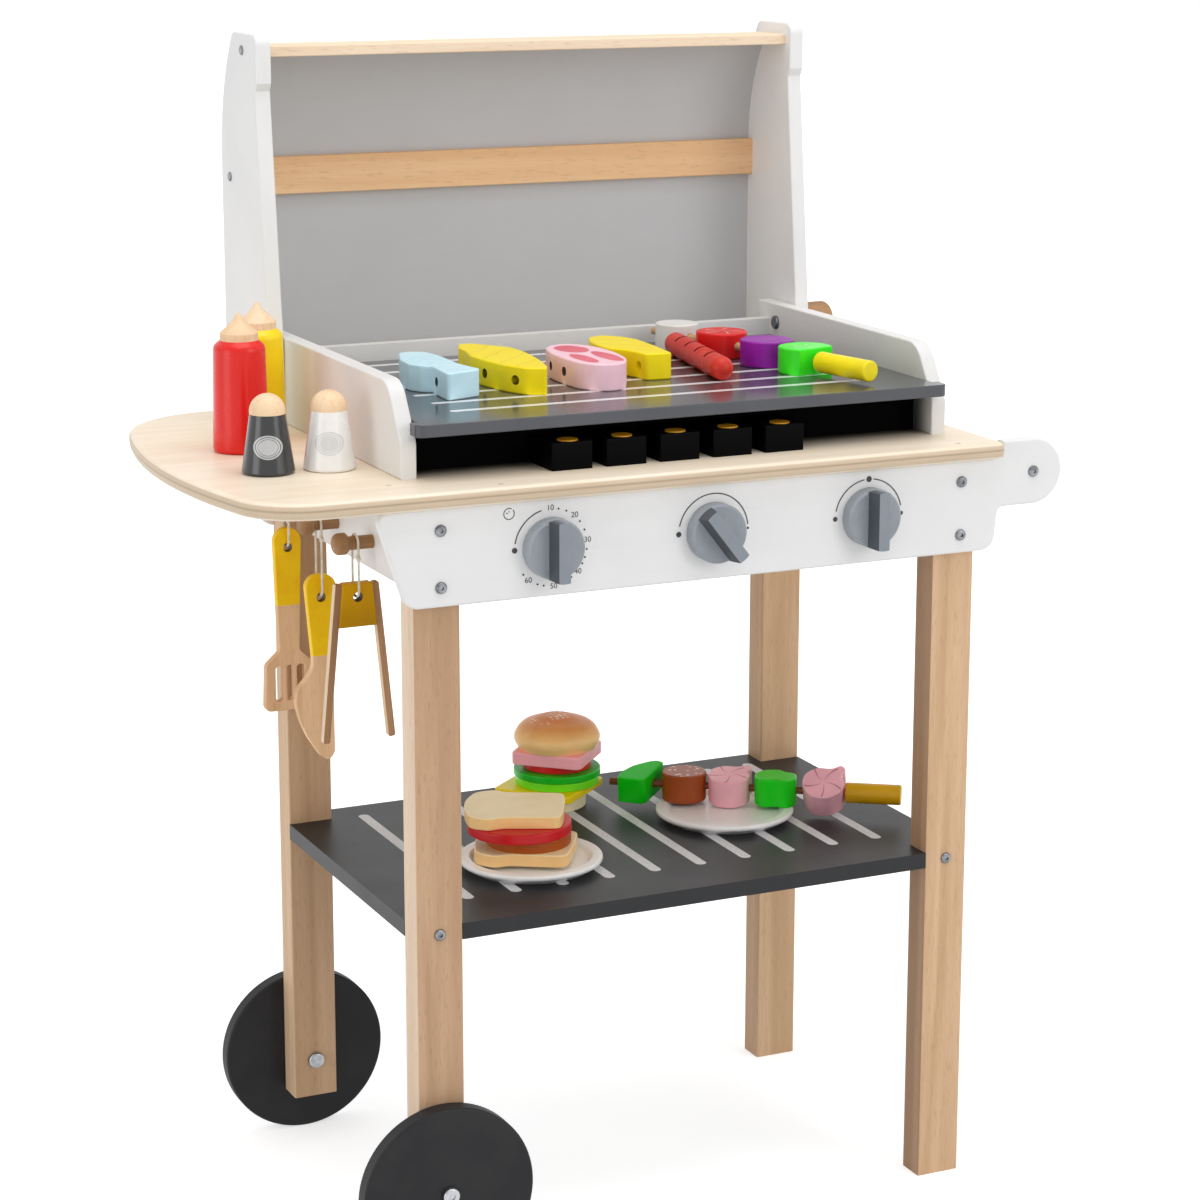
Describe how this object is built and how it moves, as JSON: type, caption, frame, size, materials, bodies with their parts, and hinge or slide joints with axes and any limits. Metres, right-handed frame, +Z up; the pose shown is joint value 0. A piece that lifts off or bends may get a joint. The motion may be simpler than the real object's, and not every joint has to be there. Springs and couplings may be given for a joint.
{
  "type": "toy barbecue grill",
  "caption": "Wheeled wooden toy barbecue grill with a fold-down hood, grill plate, turning knobs, side handle, shelf, hanging utensils and play food.",
  "frame": {"origin": "middle of the whole footprint, on the floor", "axes": "+X along the front panel towards the handle, +Y from the knobs to the back, +Z up"},
  "size_m": [0.6485, 0.4124, 0.868],
  "materials": {
    "beech": "satin clear lacquer",
    "plywood": "satin clear lacquer, layered edge",
    "white_paint": "satin paint on wood",
    "grey_paint": "satin paint on wood",
    "knob_grey": "satin paint on wood",
    "plate_grey": "gloss paint on wood",
    "shelf_grey": "satin paint on wood",
    "black_gloss": "gloss paint on wood",
    "wheel_black": "satin paint on wood",
    "amber": "gloss paint on wood",
    "red_paint": "gloss paint on wood",
    "yellow_paint": "gloss paint on wood",
    "mustard_paint": "satin paint on wood",
    "blue_paint": "satin paint on wood",
    "pink_paint": "satin paint on wood",
    "green_paint": "satin paint on wood",
    "pepper_paint": "gloss paint on wood",
    "cream_paint": "satin paint on wood",
    "steel": "nickel-plated, satin",
    "string": "twisted cotton, matt"
  },
  "bodies": {
    "frame": {"leg_front_left": "beech", "leg_front_right": "beech", "leg_back_left": "beech", "leg_back_right": "beech", "front_panel": "white_paint", "back_panel": "white_paint", "left_apron": "white_paint", "right_apron": "beech", "worktop": "plywood", "shelf": "shelf_grey", "handle_dowel": "beech", "wheel_bolts": "steel", "panel_bolts": "steel", "shelf_bolts": "steel", "handle_bolts": "steel", "knob_spindles": "beech", "utensil_pegs": "beech", "grill_side_left": "white_paint", "grill_side_right": "white_paint", "grill_rear_rail": "white_paint", "grill_plate": "plate_grey", "plate_rests": "beech", "burner_blocks": "black_gloss", "burner_discs": "amber", "burner_board": "black_gloss", "lid_pivot_screws": "steel", "lid_pivot_knob": "beech", "red_bottle": "red_paint", "yellow_bottle": "yellow_paint", "bottle_caps": "beech", "pepper_shaker": "pepper_paint", "salt_shaker": "white_paint", "shaker_domes": "beech", "blue_fish": "blue_paint", "yellow_fish": "yellow_paint", "steak": "pink_paint", "sausage": "red_paint", "grill_skewer": "green_paint", "plates": "white_paint", "burger": "cream_paint", "sandwich": "cream_paint", "shelf_skewer": "green_paint"},
    "wheel_front_body": {"wheel_front": "wheel_black"},
    "wheel_back_body": {"wheel_back": "wheel_black"},
    "knob_left_body": {"knob_left": "knob_grey"},
    "knob_middle_body": {"knob_middle": "knob_grey"},
    "knob_right_body": {"knob_right": "knob_grey"},
    "hood": {"lid_side_left": "white_paint", "lid_side_right": "white_paint", "lid_sheet": "grey_paint", "lid_slat": "beech", "lid_top_board": "beech", "lid_screws": "steel"},
    "spatula_body": {"spatula": "beech", "spatula_loop": "string"},
    "knife_body": {"knife": "beech", "knife_loop": "string"},
    "tongs_body": {"tongs_block": "mustard_paint", "tongs_arms": "beech", "tongs_loop": "string"}
  },
  "joints": [
    {"name": "wheel_front_spin", "type": "hinge", "parent": "frame", "child": "wheel_front_body", "pos_m": [-0.17575, -0.1803, 0.065], "axis": [0, 1, 0], "continuous": true},
    {"name": "wheel_back_spin", "type": "hinge", "parent": "frame", "child": "wheel_back_body", "pos_m": [-0.17575, 0.1287, 0.065], "axis": [0, 1, 0], "continuous": true},
    {"name": "knob_left_turn", "type": "hinge", "parent": "frame", "child": "knob_left_body", "pos_m": [-0.09344, -0.1932, 0.53], "axis": [0, 1, 0], "continuous": true},
    {"name": "knob_middle_turn", "type": "hinge", "parent": "frame", "child": "knob_middle_body", "pos_m": [0.03277, -0.1932, 0.53], "axis": [0, 1, 0], "continuous": true},
    {"name": "knob_right_turn", "type": "hinge", "parent": "frame", "child": "knob_right_body", "pos_m": [0.15897, -0.1932, 0.53], "axis": [0, 1, 0], "continuous": true},
    {"name": "hood_fold", "type": "hinge", "parent": "frame", "child": "hood", "pos_m": [0.03075, 0.1122, 0.628], "axis": [1, 0, 0], "range_deg": [0, 90]},
    {"name": "spatula_swing", "type": "hinge", "parent": "frame", "child": "spatula_body", "pos_m": [-0.19525, 0.0852, 0.518], "axis": [1, 0, 0], "range_deg": [-10, 2.5]},
    {"name": "knife_swing", "type": "hinge", "parent": "frame", "child": "knife_body", "pos_m": [-0.19505, 0.0122, 0.518], "axis": [1, 0, 0], "range_deg": [-10, 10]},
    {"name": "tongs_swing", "type": "hinge", "parent": "frame", "child": "tongs_body", "pos_m": [-0.19325, -0.0608, 0.518], "axis": [1, 0, 0], "range_deg": [-10, 10]}
  ]
}
